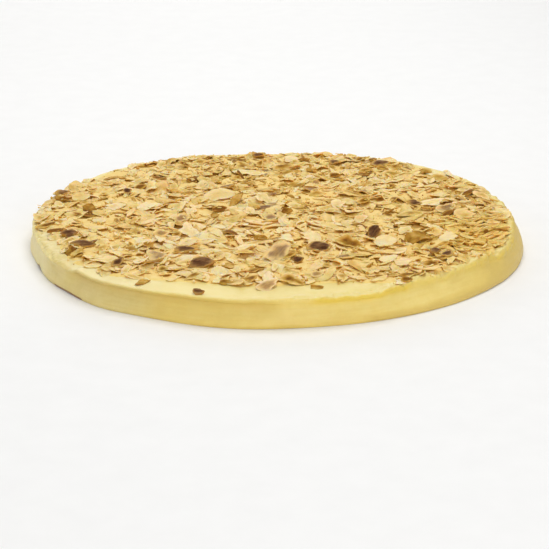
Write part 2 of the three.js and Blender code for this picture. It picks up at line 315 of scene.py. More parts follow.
# ---- materials ----------------------------------------------------------------
class Nodes:
    """Short names for making one material's nodes."""

    def __init__(self, name):
        self.mat = bpy.data.materials.new(name)
        self.mat.use_nodes = True
        self.tree = self.mat.node_tree
        self.tree.nodes.clear()
        self.out = self.add("ShaderNodeOutputMaterial")
        self.bsdf = self.add("ShaderNodeBsdfPrincipled")
        self.join(self.bsdf.outputs[0], self.out.inputs["Surface"])

    def add(self, kind, **settings):
        node = self.tree.nodes.new(kind)
        for key, value in settings.items():
            setattr(node, key, value)
        return node

    def join(self, a, b):
        self.tree.links.new(a, b)

    def put(self, socket, value):
        if isinstance(value, bpy.types.NodeSocket):
            self.join(value, socket)
        else:
            socket.default_value = value

    def math(self, operation, a, b=0.0, c=0.0, clamp=False):
        node = self.add("ShaderNodeMath", operation=operation, use_clamp=clamp)
        for socket, value in zip(node.inputs, (a, b, c)):
            self.put(socket, value)
        return node.outputs[0]

    def vector(self, x, y, z):
        node = self.add("ShaderNodeCombineXYZ")
        for socket, value in zip(node.inputs, (x, y, z)):
            self.put(socket, value)
        return node.outputs[0]

    def attribute(self, name):
        return self.add("ShaderNodeAttribute", attribute_name=name, attribute_type="GEOMETRY")

    def noise(self, where, scale, detail=3.0, roughness=0.55, distortion=0.0):
        node = self.add("ShaderNodeTexNoise")
        self.put(node.inputs["Vector"], where)
        node.inputs["Scale"].default_value = scale
        node.inputs["Detail"].default_value = detail
        node.inputs["Roughness"].default_value = roughness
        node.inputs["Distortion"].default_value = distortion
        return node.outputs["Fac"]

    def ramp(self, value, stops):
        node = self.add("ShaderNodeValToRGB")
        bar = node.color_ramp
        while len(bar.elements) < len(stops):
            bar.elements.new(0.5)
        for element, (place, colour) in zip(bar.elements, stops):
            element.position = place
            element.color = (*colour, 1.0)
        self.put(node.inputs[0], value)
        return node.outputs[0]

    def span(self, value, low, high, to_low=0.0, to_high=1.0, soft=True):
        node = self.add("ShaderNodeMapRange", interpolation_type="SMOOTHSTEP" if soft else "LINEAR")
        for key, v in zip(("Value", "From Min", "From Max", "To Min", "To Max"), (value, low, high, to_low, to_high)):
            self.put(node.inputs[key], v)
        return node.outputs[0]

    def mix(self, factor, a, b, blend="MIX"):
        node = self.add("ShaderNodeMix", data_type="RGBA", blend_type=blend)
        sockets = [s for s in node.inputs if s.enabled]
        self.put(sockets[0], factor)
        self.put(sockets[1], a if isinstance(a, bpy.types.NodeSocket) else (*a, 1.0))
        self.put(sockets[2], b if isinstance(b, bpy.types.NodeSocket) else (*b, 1.0))
        return next(s for s in node.outputs if s.enabled)

    def deep(self, reach):
        """Painted shade: a brown darkening of gaps and crevices by how closed in they are."""
        node = self.add("ShaderNodeAmbientOcclusion", samples=4)
        node.inputs["Distance"].default_value = reach
        return self.ramp(node.outputs["AO"], [(0.0, (0.94, 0.72, 0.13)), (0.22, (0.965, 0.835, 0.46)), (0.45, (0.985, 0.920, 0.71)), (0.85, (1.0, 1.0, 1.0))])

    def bump(self, height, distance, strength=1.0, onto=None):
        node = self.add("ShaderNodeBump")
        node.inputs["Strength"].default_value = strength
        node.inputs["Distance"].default_value = distance
        self.put(node.inputs["Height"], height)
        if onto is not None:
            self.put(node.inputs["Normal"], onto)
        return node.outputs[0]


def cream_material(name, bed=False):
    n = Nodes(name)
    place = n.add("ShaderNodeTexCoord").outputs["Object"]
    scaled = n.add("ShaderNodeVectorMath", operation="SCALE")
    n.put(scaled.inputs[0], place)
    scaled.inputs["Scale"].default_value = 1000.0
    mm = scaled.outputs[0]
    sep = n.add("ShaderNodeSeparateXYZ")
    n.put(sep.inputs[0], mm)
    smear_at = n.vector(n.math("MULTIPLY", sep.outputs[0], 0.055), n.math("MULTIPLY", sep.outputs[1], 0.055), n.math("MULTIPLY", sep.outputs[2], 0.8))
    broad = n.noise(mm, 0.045, 3.0)
    smear = n.noise(smear_at, 1.0, 4.0, 0.6)
    fine = n.noise(mm, 0.9, 4.0, 0.6)
    tint = n.math("ADD", n.math("MULTIPLY", broad, 0.5), n.math("ADD", n.math("MULTIPLY", smear, 0.35), n.math("MULTIPLY", fine, 0.15)))
    patchy = n.math("MULTIPLY", n.math("SUBTRACT", n.noise(mm, 0.17, 3.0, 0.6), 0.5), 0.34)
    tint = n.math("ADD", tint, patchy)
    stops = [(0.04, (0.690, 0.492, 0.114)), (0.30, (0.775, 0.570, 0.142)), (0.50, (0.825, 0.632, 0.182)), (0.70, (0.860, 0.685, 0.230))]
    if bed:  # mixed with almond dust
        tint = n.math("ADD", n.math("MULTIPLY", tint, 0.5), n.math("MULTIPLY", n.noise(mm, 0.35, 4.0, 0.65), 0.5))
        dusty = n.ramp(tint, [(0.34, (0.735, 0.492, 0.155)), (0.46, (0.830, 0.600, 0.215)), (0.60, (0.875, 0.675, 0.288))])
        colour = n.mix(n.attribute("under").outputs["Fac"], n.ramp(tint, stops), dusty)
        # Painted shade: the cream between the almonds is darkened and browned in its gaps.
        colour = n.mix(1.0, colour, n.deep(0.0035), "MULTIPLY")
    else:
        # Painted light: the top gets a less saturated, slightly darker copy of the side's cream colour, set for the
        # stronger, whiter light on it.
        above = [(0.30, (0.720, 0.562, 0.164)), (0.50, (0.765, 0.618, 0.202)), (0.70, (0.800, 0.664, 0.250))]
        # Painted light and shade: pale lightens or darkens the cream where the light falls more or less.
        tint = n.math("ADD", tint, n.attribute("pale").outputs["Fac"])
        colour = n.mix(n.attribute("above").outputs["Fac"], n.ramp(tint, stops), n.ramp(tint, above))
        # Painted sheen: a paler, less saturated cream standing in for a whitish veil of light.
        colour = n.mix(n.attribute("painted_sheen").outputs["Fac"], colour, n.ramp(tint, [(0.35, (0.700, 0.565, 0.215)), (0.65, (0.790, 0.665, 0.305)), (0.95, (0.860, 0.755, 0.390))]))
        # Painted shade under the lip, darker at the front left.
        colour = n.mix(n.attribute("lip_shade").outputs["Fac"], colour, (0.620, 0.430, 0.085))
        # Painted shade under the lip, deeper yellow and darker along the front right.
        colour = n.mix(n.attribute("lip_shade_yellow").outputs["Fac"], colour, (0.790, 0.575, 0.078))
    crust = n.span(n.math("ADD", n.attribute("crust").outputs["Fac"], n.math("MULTIPLY", n.math("SUBTRACT", fine, 0.5), 0.5)), 0.35, 0.6)
    colour = n.mix(crust, colour, n.ramp(fine, [(0.35, (0.22, 0.10, 0.035)), (0.65, (0.42, 0.22, 0.08))]))
    n.put(n.bsdf.inputs["Base Color"], colour)
    n.put(n.bsdf.inputs["Roughness"], n.span(smear, 0.3, 0.7, 0.6 if bed else 0.36, 0.8 if bed else 0.52, soft=False))
    n.bsdf.inputs["Specular IOR Level"].default_value = 0.05 if bed else 0.42
    n.bsdf.inputs["Subsurface Weight"].default_value = 0.0 if bed else 0.12
    n.bsdf.inputs["Subsurface Radius"].default_value = (1.0, 0.55, 0.2)
    n.bsdf.inputs["Subsurface Scale"].default_value = 0.002
    relief = n.bump(smear, 0.0004, 0.5)
    n.put(n.bsdf.inputs["Normal"], n.bump(fine, 0.00025, 0.45, relief))
    return n.mat


def almond_material(name):
    """Almond slices: their tones, grain and brown skin come from attributes on each slice."""
    n = Nodes(name)
    local = n.attribute("local").outputs["Vector"]
    rim = n.attribute("rim").outputs["Fac"]
    rind = n.attribute("rind").outputs["Fac"]
    toast = n.attribute("toast").outputs["Fac"]
    skin = n.attribute("skin").outputs["Fac"]
    tone = n.attribute("tone").outputs["Fac"]
    sep = n.add("ShaderNodeSeparateXYZ")
    n.put(sep.inputs[0], local)
    u, v, seed = sep.outputs
    grain = n.noise(n.vector(n.math("MULTIPLY", u, 0.13), n.math("MULTIPLY", v, 0.8), seed), 1.0, 5.0, 0.65, 0.5)
    blotch = n.noise(n.vector(n.math("MULTIPLY", u, 0.21), n.math("MULTIPLY", v, 0.27), n.math("ADD", seed, 31.7)), 1.0, 2.5, 0.5)
    fine = n.noise(local, 2.2, 3.0, 0.6)
    rimmed = n.math("POWER", rim, 5.0)
    heat = n.math("ADD", toast, n.math("MULTIPLY", n.math("SUBTRACT", blotch, 0.5), 0.75))
    # Some slices browned most in the middle, others along the edge.
    inward = n.math("MULTIPLY", n.math("SUBTRACT", 0.62, n.math("POWER", rim, 2.0)), n.span(tone, 0.15, 0.95, -0.06, 0.55, soft=False))
    heat = n.math("ADD", heat, n.math("ADD", inward, n.math("MULTIPLY", rimmed, 0.06)), clamp=True)
    flesh = n.ramp(
        heat,
        [
            (0.00, (0.972, 0.730, 0.420)),
            (0.22, (0.942, 0.668, 0.322)),
            (0.44, (0.850, 0.577, 0.220)),
            (0.64, (0.655, 0.408, 0.106)),
            (0.82, (0.420, 0.223, 0.028)),
            (1.00, (0.205, 0.080, 0.005)),
        ],
    )
    peel = n.ramp(
        n.math("ADD", n.math("MULTIPLY_ADD", tone, 0.3, n.math("MULTIPLY", grain, 0.7)), n.math("MULTIPLY_ADD", n.math("POWER", rim, 2.0), 0.18, n.math("MULTIPLY", n.math("SUBTRACT", blotch, 0.5), 0.8))),
        [
            (0.24, (0.085, 0.031, 0.009)),
            (0.46, (0.205, 0.101, 0.036)),
            (0.68, (0.385, 0.220, 0.084)),
            (0.88, (0.575, 0.380, 0.160)),
        ],
    )
    # Where only half of the skin is left, it is in the middle.
    ragged = n.math("ADD", rim, n.math("MULTIPLY", n.math("SUBTRACT", blotch, 0.5), 0.9))
    worn = n.span(ragged, n.math("MULTIPLY_ADD", skin, 0.45, 0.17), n.math("MULTIPLY_ADD", skin, 0.30, 0.75), 1.0, n.math("MULTIPLY", skin, 0.25))
    colour = n.mix(n.math("MULTIPLY", n.math("MULTIPLY", skin, 1.5, clamp=True), worn), flesh, peel)
    edge = n.span(n.math("ADD", rim, n.math("MULTIPLY", n.math("SUBTRACT", fine, 0.5), 0.10)), 0.93, 1.0)
    other = n.math("FRACT", n.math("MULTIPLY", seed, 7.31))
    edge = n.math("MULTIPLY", edge, n.math("MULTIPLY", n.span(blotch, 0.40, 0.62), n.span(other, 0.45, 0.9, 0.0, 0.75)))
    colour = n.mix(n.math("MULTIPLY", edge, rind), colour, (0.360, 0.180, 0.052))
    streak = n.noise(n.vector(n.math("MULTIPLY", u, 0.35), n.math("MULTIPLY", v, 3.4), n.math("ADD", seed, 77.0)), 1.0, 3.0, 0.6, 0.3)
    shade = n.math("MULTIPLY", n.span(grain, 0.27, 0.73, 0.87, 1.05, soft=False), n.span(streak, 0.25, 0.75, 0.92, 1.06, soft=False))
    hue = n.ramp(other, [(0.0, (1.0, 1.0, 0.94)), (0.5, (1.0, 1.0, 1.0)), (1.0, (1.005, 0.985, 1.03))])
    colour = n.mix(1.0, colour, hue, "MULTIPLY")
    colour = n.mix(n.attribute("gold").outputs["Fac"], colour, n.mix(1.0, colour, (1.0, 0.950, 0.72), "MULTIPLY"))
    # Painted shade: the slices are darkened and browned where other pieces close them in.
    colour = n.mix(1.0, colour, n.deep(0.003), "MULTIPLY")
    tinted = n.add("ShaderNodeVectorMath", operation="SCALE")
    n.put(tinted.inputs[0], colour)
    n.put(tinted.inputs["Scale"], shade)
    n.put(n.bsdf.inputs["Base Color"], tinted.outputs[0])
    n.put(n.bsdf.inputs["Roughness"], n.span(fine, 0.25, 0.75, 0.5, 0.72, soft=False))
    n.bsdf.inputs["Specular IOR Level"].default_value = 0.06
    n.bsdf.inputs["Subsurface Weight"].default_value = 0.5
    n.bsdf.inputs["Subsurface Radius"].default_value = (1.0, 0.5, 0.14)
    n.bsdf.inputs["Subsurface Scale"].default_value = 0.0022
    ridges = n.bump(grain, 0.00030, 0.5)
    n.put(n.bsdf.inputs["Normal"], n.bump(fine, 0.00012, 0.4, ridges))
    return n.mat


# ---- the cream's mesh -----------------------------------------------------------
def make_cream():
    profile = cream_profile()
    count = 1260
    angles = np.linspace(-math.pi, math.pi, count, endpoint=False)
    r, a = np.meshgrid(profile[:, 0], angles, indexing="ij")
    z = np.repeat(profile[:, 1][:, None], count, 1)
    rr, zz = cream(r, a, z)
    lift = lifted(angles)
    for row in range(1, len(profile)):  # the lower edge stands off, and the side fades back to its own shape
        share = 1.0 - smooth(0.0, 3.2, profile[row, 1])
        zz[row] += lift * share
        if profile[row, 1] > 4:
            break
    zz -= 0.6 * smooth(112.0, 100.0, r) * (z >= CAKE_HEIGHT)  # below the almonds
    verts = np.stack([rr * np.cos(a), rr * np.sin(a), zz], -1).reshape(-1, 3)
    rows = len(profile)
    crust = np.zeros((rows, count))
    crust[0] = 1.0
    crust[1] = 1.2 * spot(angles, -159.5, 5.0)
    bare_foot = stretch(angles, -146, -137, 3)
    for row in range(1, 8):
        crust[row] = np.maximum(crust[row], bare_foot * (profile[row, 1] < 1.1))
    middle_top = np.array([[0.0, 0.0, float(top_height(np.zeros(1), np.zeros(1))[0]) - 0.6]])
    middle_low = np.array([[0.0, 0.0, 0.0]])
    verts = np.concatenate([verts, middle_top, middle_low])
    k = np.arange(count)
    nxt = (k + 1) % count
    quads = []
    for row in range(rows - 1):
        quads.append(np.stack([row * count + k, row * count + nxt, (row + 1) * count + nxt, (row + 1) * count + k], 1))
    quads = np.concatenate(quads)
    cap = np.stack([(rows - 1) * count + k, (rows - 1) * count + nxt, np.full(count, rows * count)], 1)
    base = np.stack([nxt, k, np.full(count, rows * count + 1)], 1)
    loops = np.concatenate([quads.ravel(), cap.ravel(), base.ravel()])
    starts = np.concatenate([np.arange(len(quads)) * 4, len(quads) * 4 + np.arange(2 * count) * 3])

    # The bake map: the top as a disc, the side as six strips, the underside as a small disc.
    first_top = next(i for i in range(rows) if profile[i, 1] >= CAKE_HEIGHT - 1e-6)
    uv = np.zeros((len(loops), 2))
    across = 0.355 / CAKE_RADIUS
    q = np.repeat(np.arange(len(quads)) // count, 4)
    x, y = verts[loops, 0], verts[loops, 1]
    uv[:, 0], uv[:, 1] = 0.37 + across * x, 0.63 + across * y
    corner = np.tile([0, 1, 1, 0], len(quads))
    piece = np.repeat(np.tile(k, rows - 1), 4)
    on_side = q < first_top
    length = np.concatenate([[0], np.cumsum(np.hypot(*np.diff(profile[: first_top + 1], axis=0).T))])
    climb = np.tile([0, 0, 1, 1], len(quads))
    strip = piece // (count // 6)
    along = (piece % (count // 6) + corner) / (count // 6)
    up = length[np.minimum(q + climb, first_top)] / length[-1]
    side_uv = np.stack([0.02 + 0.45 * along + 0.49 * (strip % 2), 0.02 + 0.075 * (strip // 2) + 0.062 * up], 1)
    uv[: len(quads) * 4][on_side] = side_uv[on_side]
    low = slice(len(quads) * 4 + 3 * count, None)
    uv[low, 0], uv[low, 1] = 0.87 + 0.1 / CAKE_RADIUS * x[low], 0.63 + 0.1 / CAKE_RADIUS * y[low]
    # Where the top's own copy of the cream colour, set for how the top is lit, takes over.
    above = np.repeat(smooth(CAKE_HEIGHT - 1.6, CAKE_HEIGHT, profile[:, 1])[:, None], count, 1)
    # Painted shade under the lip: darker at the front left, deeper yellow and darker along the front right.
    lip_shade = painted_shade_under_lip(angles[None, :], profile[:, 1:]) * (profile[:, :1] > RIM_RADIUS + 0.9)
    lip_shade_yellow = painted_yellow_shade_under_lip(angles[None, :], profile[:, 1:]) * (profile[:, :1] > RIM_RADIUS + 0.9)
    # Painted light and shade on the cream. A painted whitish sheen lies on the left end, strongest on the top, and a
    # weaker one along part of the right side. Pale paints the side lighter and darker by how the light falls: darker as
    # shade on the far right, lighter on the far left, with small lighter and darker bands toward the front.
    painted_sheen = np.outer(np.where(profile[:, 1] > CAKE_HEIGHT - 0.2, 1.25, 1.0), 0.74 * stretch(angles, -178, -124, 12)) + np.outer(np.ones(rows), 0.18 * stretch(angles, -62, -26, 8))
    pale = np.outer(profile[:, 1] < CAKE_HEIGHT - 0.2, 0.05 * stretch(angles, -64, -44, 6) - 0.06 * stretch(angles, -44, -28, 8) - 0.42 * stretch(angles, -30, 30, 14) + 0.32 * stretch(angles, -180, -156, 8) - 0.07 * stretch(angles, -150, -118, 10))
    # Painted highlight: the top's edge at the front left is lighter.
    pale += np.outer((profile[:, 1] > CAKE_HEIGHT - 1.4) * smooth(RIM_RADIUS - 12, RIM_RADIUS - 4, profile[:, 0]), 0.22 * stretch(angles, -138, -104, 8))
    # Painted shade: the lower side is darker along the front and the right.
    pale -= np.outer(1.0 - smooth(1.0, 6.0, profile[:, 1]), 0.50 * stretch(angles, -68, -25, 8) + 0.14 * stretch(angles, -118, -76, 8))
    points = {
        "crust": np.concatenate([crust.ravel(), [0.0, 1.0]]),
        "above": np.concatenate([above.ravel(), [1.0, 0.0]]),
        "lip_shade": np.concatenate([lip_shade.ravel(), [0.0, 0.0]]),
        "lip_shade_yellow": np.concatenate([lip_shade_yellow.ravel(), [0.0, 0.0]]),
        "painted_sheen": np.concatenate([painted_sheen.ravel(), [0.0, 0.0]]),
        "pale": np.concatenate([pale.ravel(), [0.0, 0.0]]),
    }
    ob = mesh_object("cake_cream", verts, loops, starts, uv, points)
    ob.data.materials.append(cream_material("buttercream"))
    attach(ob, "root")
    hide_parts("cake")
    return ob


# ---- the heap of almonds -----------------------------------------------------------
CELL = 0.5
HALF = 152.0
SIDE = int(2 * HALF / CELL)
_axis = (np.arange(SIDE) + 0.5) * CELL - HALF
GX, GY = np.meshgrid(_axis, _axis, indexing="ij")
ground = top_height(GX, GY)


def rim_reach(angle):
    """The lip's widest point."""
    return CAKE_RADIUS - LIP_INSET + standing_out(angle) - draft(angle)


def topping_reach(angle):
    where, margin = zip(*BARE)
    clear = np.interp(np.degrees(np.arctan2(np.sin(angle), np.cos(angle))), where, margin)
    ragged = EDGE_RAGGED * (0.6 * np.abs(waves(angle, 5, 19, 11)) + 0.7 * np.abs(waves(angle, 31, 60, 12)))
    return rim_reach(angle) - clear - ragged * (0.6 + clear / 16.0)


def within_lip(x, y):
    """How far inside the lip's widest point a place is."""
    a = np.arctan2(y, x)
    return rim_reach(a) + OUTLINE_WOBBLE * waves(a, 2, 11, 3) + 0.35 * waves(a, 5, 17, 8) - np.hypot(x, y)


def bed_share(x, y):
    """1 well inside the almonds, 0 outside."""
    return smooth(-2.5, 5.0, topping_reach(np.arctan2(y, x)) - np.hypot(x, y)) * smooth(2.6, 5.6, within_lip(x, y))


def bed_height(x, y):
    """Top of the cream that is squeezed up between the almonds."""
    under = bed_share(x, y)
    lumps = 0.55 + 0.60 * noise(x / 5.2, y / 5.2, 6.1) + 0.38 * noise(x / 2.3, y / 2.3, 2.9)
    return top_height(x, y) - 0.5 + under * (0.5 + np.maximum(-0.1, lumps))


surface = np.maximum(ground, bed_height(GX, GY))  # what has been laid so far
cover = np.zeros_like(surface)  # how many slices lie over each spot


class Slice:
    """One piece of sliced almond: an outline, a gentle bend and a thickness, in millimetres."""

    def __init__(self, outline, thick, bend=(0.0, 0.0, 0.0), dome=0.0, toast=0.4, skin=(0.0, 0.0), under=1.0, rind=None, tone=None, wave=0.0):
        self.outline = outline
        self.rind = np.ones(len(outline)) if rind is None else rind  # 1 where the almond's own skin runs along the edge
        self.thick = thick
        self.bend = bend
        self.dome = dome
        self.toast = toast
        self.skin = skin  # top, underside
        self.under = under  # the underside's outline against the top's
        self.tone = rng.uniform() if tone is None else tone
        self.gold = 0.0
        self.seed = rng.uniform(0, 200)
        self.ripple = rng.uniform(0.10, 0.45)
        self.wave = abs(rng.normal(0, wave))  # the edge goes up and down this much
        self.turns, self.phase = rng.integers(2, 5), rng.uniform(0, TAU)
        angle = np.arctan2(outline[:, 1], outline[:, 0])
        order = np.argsort(angle)
        self.angle, self.radius = angle[order], np.hypot(*outline.T)[order]
        self.reach = self.radius.max()

    def inside(self, u, v):
        """0 in the middle, 1 on the outline."""
        edge = np.interp(np.arctan2(v, u), self.angle, self.radius, period=TAU)
        return np.hypot(u, v) / edge

    def middle(self, u, v):
        a, b, c = self.bend
        ripple = self.ripple * noise(u / 4.6 + self.seed, v / 2.3, self.seed)
        edge = self.wave * (u * u + v * v) / self.reach**2 * np.sin(self.turns * np.arctan2(v, u) + self.phase)
        return a * u * u + b * v * v + c * u * v + ripple + edge

    def half(self, rho):
        flat = 0.5 * self.thick * (1 - 0.22 * rho**4)
        return flat, flat + self.dome * np.sqrt(np.maximum(0.0, 1 - 0.96 * rho * rho))


def teardrop(length, width, sharp, lean, count, rough=0.03):
    """The outline of a slice cut along an almond: pointed at one end, round at the other."""
    t = np.linspace(0, TAU, count, endpoint=False)
    x = 0.5 * length * np.cos(t)
    y = np.sin(t) * np.sin(t / 2) ** sharp
    y *= 0.5 * width / np.abs(y).max()
    y = y + lean * (x / length) ** 2 * width
    p = np.stack([x - x.mean(), y - y.mean()], 1)
    wavy = 1.6 * rough * noise(1.3 * np.cos(t) + rng.uniform(0, 90), 1.3 * np.sin(t), rng.uniform(0, 90))
    return p * (1 + wavy + 0.7 * rough * rng.standard_normal(count))[:, None]


def bite(outline, count):
    """Chips small bits out of the edge."""
    t = np.arctan2(outline[:, 1], outline[:, 0])
    for _ in range(count):
        depth, width = rng.uniform(0.12, 0.38), rng.uniform(0.18, 0.5)
        outline = outline * (1 - depth * np.exp(-((from_angle(t, rng.uniform(0, TAU)) / width) ** 2)))[:, None]
    return outline


def snap(outline, turn, left, jag=0.04):
    """Breaks an outline off along a line."""
    n = np.array([math.cos(turn), math.sin(turn)])
    far = outline @ n
    limit = left * far.max()
    cut = far > limit
    out = outline.copy()
    out[cut] *= (limit / far[cut] * (1 + jag * rng.standard_normal(cut.sum())))[:, None]
    return out - out.mean(0) * 0.6, cut


RINGS = (0.36, 0.68, 0.91, 1.0)
POINTS = 24


def slice_points(piece, rings):
    """The vertices of a slice about its own middle, and what its material reads there."""
    o = piece.outline
    flat = np.concatenate([np.zeros((1, 2)), *(o * r for r in rings)])
    rho = np.concatenate([[0.0], *(np.full(len(o), r) for r in rings)])
    low, high = piece.half(rho)
    top = np.column_stack([flat, piece.middle(*flat.T) + high])
    shrunk = flat * (1 + (piece.under - 1) * rho[:, None])
    bottom = np.column_stack([shrunk, piece.middle(*shrunk.T) - low])
    return np.concatenate([top, bottom]), np.concatenate([rho, rho])


def slice_template(count, rings):
    """Corners, face starts and which map each face is on, for a slice with this many points."""
    m = len(rings)
    half = 1 + m * count
    k = np.arange(count)
    nxt = (k + 1) % count
    loops, starts, where = [], [], []

    def add(faces, kind):
        for f in faces:
            starts.append(len(loops))
            loops.extend(f)
            where.extend([kind] * len(f))

    add(np.stack([np.zeros(count, int), 1 + k, 1 + nxt], 1), 0)
    add(np.stack([half + np.zeros(count, int), half + 1 + nxt, half + 1 + k], 1), 1)
    for ring in range(m - 1):
        a, b = 1 + ring * count, 1 + (ring + 1) * count
        add(np.stack([a + k, b + k, b + nxt, a + nxt], 1), 0)
        add(np.stack([half + a + nxt, half + b + nxt, half + b + k, half + a + k], 1), 1)
    edge = 1 + (m - 1) * count
    strip = np.stack([edge + k, half + edge + k, half + edge + nxt, edge + nxt], 1)
    first_rim = len(loops)
    add(strip, 2)
    rim_u = np.stack([k, k, k + 1, k + 1], 1).ravel() / count
    rim_v = np.tile([1.0, 0.0, 0.0, 1.0], count)
    sharp = np.zeros(2 * half)
    sharp[edge : edge + count] = 1
    sharp[half + edge : half + edge + count] = 2
    return np.array(loops), np.array(starts), np.array(where), rim_u, rim_v, first_rim, sharp


class Batch:
    """Slices of one kind, joined into one piece."""

    def __init__(self, name, count, rings=RINGS):
        self.name, self.count, self.rings = name, count, rings
        self.template = slice_template(count, rings)
        self.items = []

    def add(self, piece, turn, origin):
        local, rho = slice_points(piece, self.rings)
        self.items.append((piece, local, rho, local @ turn.T + origin))

    def build(self):
        loops0, starts0, where, rim_u, rim_v, first_rim, sharp0 = self.template
        per = len(sharp0)
        half = per // 2
        grid = math.ceil(math.sqrt(len(self.items)))
        verts, loops, starts, uvs = [], [], [], []
        made = {k: [] for k in ("local", "rim", "rind", "toast", "skin", "tone", "gold")}
        for i, (piece, local, rho, placed) in enumerate(self.items):
            along = np.concatenate([[piece.rind.mean()], np.tile(piece.rind, len(self.rings))])
            made["rind"].append(np.tile(along, 2))
            verts.append(placed)
            loops.append(loops0 + i * per)
            starts.append(starts0 + i * len(loops0))
            made["local"].append(np.column_stack([local[:, :2], np.full(per, piece.seed)]))
            made["rim"].append(rho)
            made["toast"].append(np.full(per, piece.toast))
            made["skin"].append(np.repeat(piece.skin, half))
            made["tone"].append(np.full(per, piece.tone))
            made["gold"].append(np.full(per, piece.gold))
            box = local[:half, :2]
            size = np.ptp(box, axis=0)
            scale = min(0.84 / size[0], 0.44 / size[1])
            flat = (local[:, :2] - (box.max(0) + box.min(0)) / 2) * scale
            uv = np.empty((len(loops0), 2))
            spot_uv = flat[loops0]
            uv[:, 0] = np.where(where == 0, 0.26, 0.74) + spot_uv[:, 1]
            uv[:, 1] = 0.55 + spot_uv[:, 0]
            uv[first_rim:, 0] = 0.04 + 0.92 * rim_u
            uv[first_rim:, 1] = 0.02 + 0.06 * rim_v
            uvs.append((uv + [i % grid, i // grid]) / grid)
        ob = mesh_object(
            self.name,
            np.concatenate(verts),
            np.concatenate(loops),
            np.concatenate(starts),
            np.concatenate(uvs),
            {k: np.concatenate(v) for k, v in made.items()},
            np.tile(sharp0, len(self.items)),
        )
        ob.data.materials.append(almond_material(self.name))
        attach(ob, "root")
        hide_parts("almond_topping")
        return ob


def turned(heading, slope_x, slope_y):
    """The axes of a slice that lies on a plane with these slopes, its length along heading."""
    n = np.array([-slope_x, -slope_y, 1.0])
    n /= np.linalg.norm(n)
    d = np.array([math.cos(heading), math.sin(heading), 0.0])
    e1 = d - n * (d @ n)
    e1 /= np.linalg.norm(e1)
    return np.column_stack([e1, np.cross(n, e1), n])


def window(x, y, reach):
    i0, i1 = (int((x + s * reach + HALF) / CELL) for s in (-1, 1))
    j0, j1 = (int((y + s * reach + HALF) / CELL) for s in (-1, 1))
    return slice(max(i0, 0), i1 + 2), slice(max(j0, 0), j1 + 2)


def browning(x, y):
    """How much more or less the almonds are toasted in some parts of the heap."""
    total = 0.09 * float(noise(x / 15, y / 15, 12.3))
    for cx, cy, r, much in (
        (-25, 82, 44, 0.18), (88, -42, 34, 0.10), (74, 20, 24, 0.13), (-6, -26, 34, -0.12), (-36, -50, 19, -0.12),
        (-72, 54, 15, -0.07), (100, 58, 20, 0.07), (-78, -80, 27, -0.12), (-8, -72, 12, -0.08), (58, 98, 24, 0.09), (-106, -4, 30, 0.09), (-14, -106, 30, -0.06),
    ):
        total += much * math.exp(-((x - cx) ** 2 + (y - cy) ** 2) / (r * r))
    return total


def golden_at(x, y):
    """Where the almonds are yellower, near the +X rim."""
    return math.exp(-((x - 108) ** 2 + (y + 42) ** 2) / 40.0**2)


def settle(batch, piece, x, y, *rest):
    """Lays a slice that takes the tone of its part of the heap."""
    piece.toast = max(0.03, piece.toast + browning(x, y))
    piece.gold = golden_at(x, y)
    lay(batch(piece) if callable(batch) else batch, piece, x, y, *rest)


def lay(batch, piece, x, y, heading, tilt=(0.0, 0.0), sink=0.15, steep=0.5, follow=1.0):
    """Lets a slice come to rest on what lies below it."""
    w = window(x, y, piece.reach)
    dx, dy = GX[w] - x, GY[w] - y
    c, s = math.cos(heading), math.sin(heading)
    u, v = c * dx + s * dy, -s * dx + c * dy
    rho = piece.inside(u, v)
    on = rho <= 1.0
    if on.sum() < 3:
        on = rho <= rho.min() + 1e-9
    low, high = piece.half(rho)
    middle = piece.middle(u, v)
    rest = (surface[w] - (middle - low))[on]
    px, py = dx[on], dy[on]
    weight = np.exp(np.maximum(rest - rest.max(), -6) / 1.5)
    a = np.column_stack([px, py, np.ones_like(px)])
    if len(px) > 5:
        sol = np.linalg.solve(a.T @ (a * weight[:, None]) + np.diag([1.2, 1.2, 1e-6]), a.T @ (rest * weight))
        sx, sy = follow * sol[0] + tilt[0], follow * sol[1] + tilt[1]
    else:
        sx, sy = tilt
    size = math.hypot(sx, sy)
    if size > steep:
        sx, sy = sx * steep / size, sy * steep / size
    z0 = np.quantile(rest - sx * px - sy * py, 0.86) - sink
    upper = sx * dx + sy * dy + z0 + middle + high
    surface[w] = np.where(on, np.maximum(surface[w], upper), surface[w])
    cover[w] += on
    batch.add(piece, turned(heading, sx, sy), np.array([x, y, z0]))


def allowed(x, y, spare):
    r, a = np.hypot(x, y), np.arctan2(y, x)
    return r < topping_reach(a) - spare


def over(piece, x, y, heading):
    """How far a slice would stick out past the almonds' outline."""
    c, s = math.cos(heading), math.sin(heading)
    px = x + c * piece.outline[:, 0] - s * piece.outline[:, 1]
    py = y + s * piece.outline[:, 0] + c * piece.outline[:, 1]
    a = np.arctan2(py, px)
    limit = np.minimum(topping_reach(a) + 3.0, rim_reach(a) - 0.3)
    return float((np.hypot(px, py) - limit).max())


def pick(spare, tries, even=1.0, patch=1.0):
    """A place for the next piece: of a few, the one with the least on it."""
    best, lowest = None, math.inf
    while tries > 0:
        x, y = rng.uniform(-HALF + 12, HALF - 12, 2)
        if not allowed(x, y, spare):
            continue
        tries -= 1
        w = window(x, y, 4.0)
        load = even * cover[w].mean() + patch * bare(x, y) + rng.uniform(0, 0.35)
        if load < lowest:
            best, lowest = (x, y), load
    return best


def bare(x, y):
    """Patches that the almonds miss, where the cream shows."""
    total = 0.0
    for cx, cy, r in ((24, 37, 13), (-42, 6, 11), (-4, 66, 10), (60, -30, 8), (-95, -12, 9), (86, 40, 9)):
        total += math.exp(-((x - cx) ** 2 + (y - cy) ** 2) / (r * r))
    return total


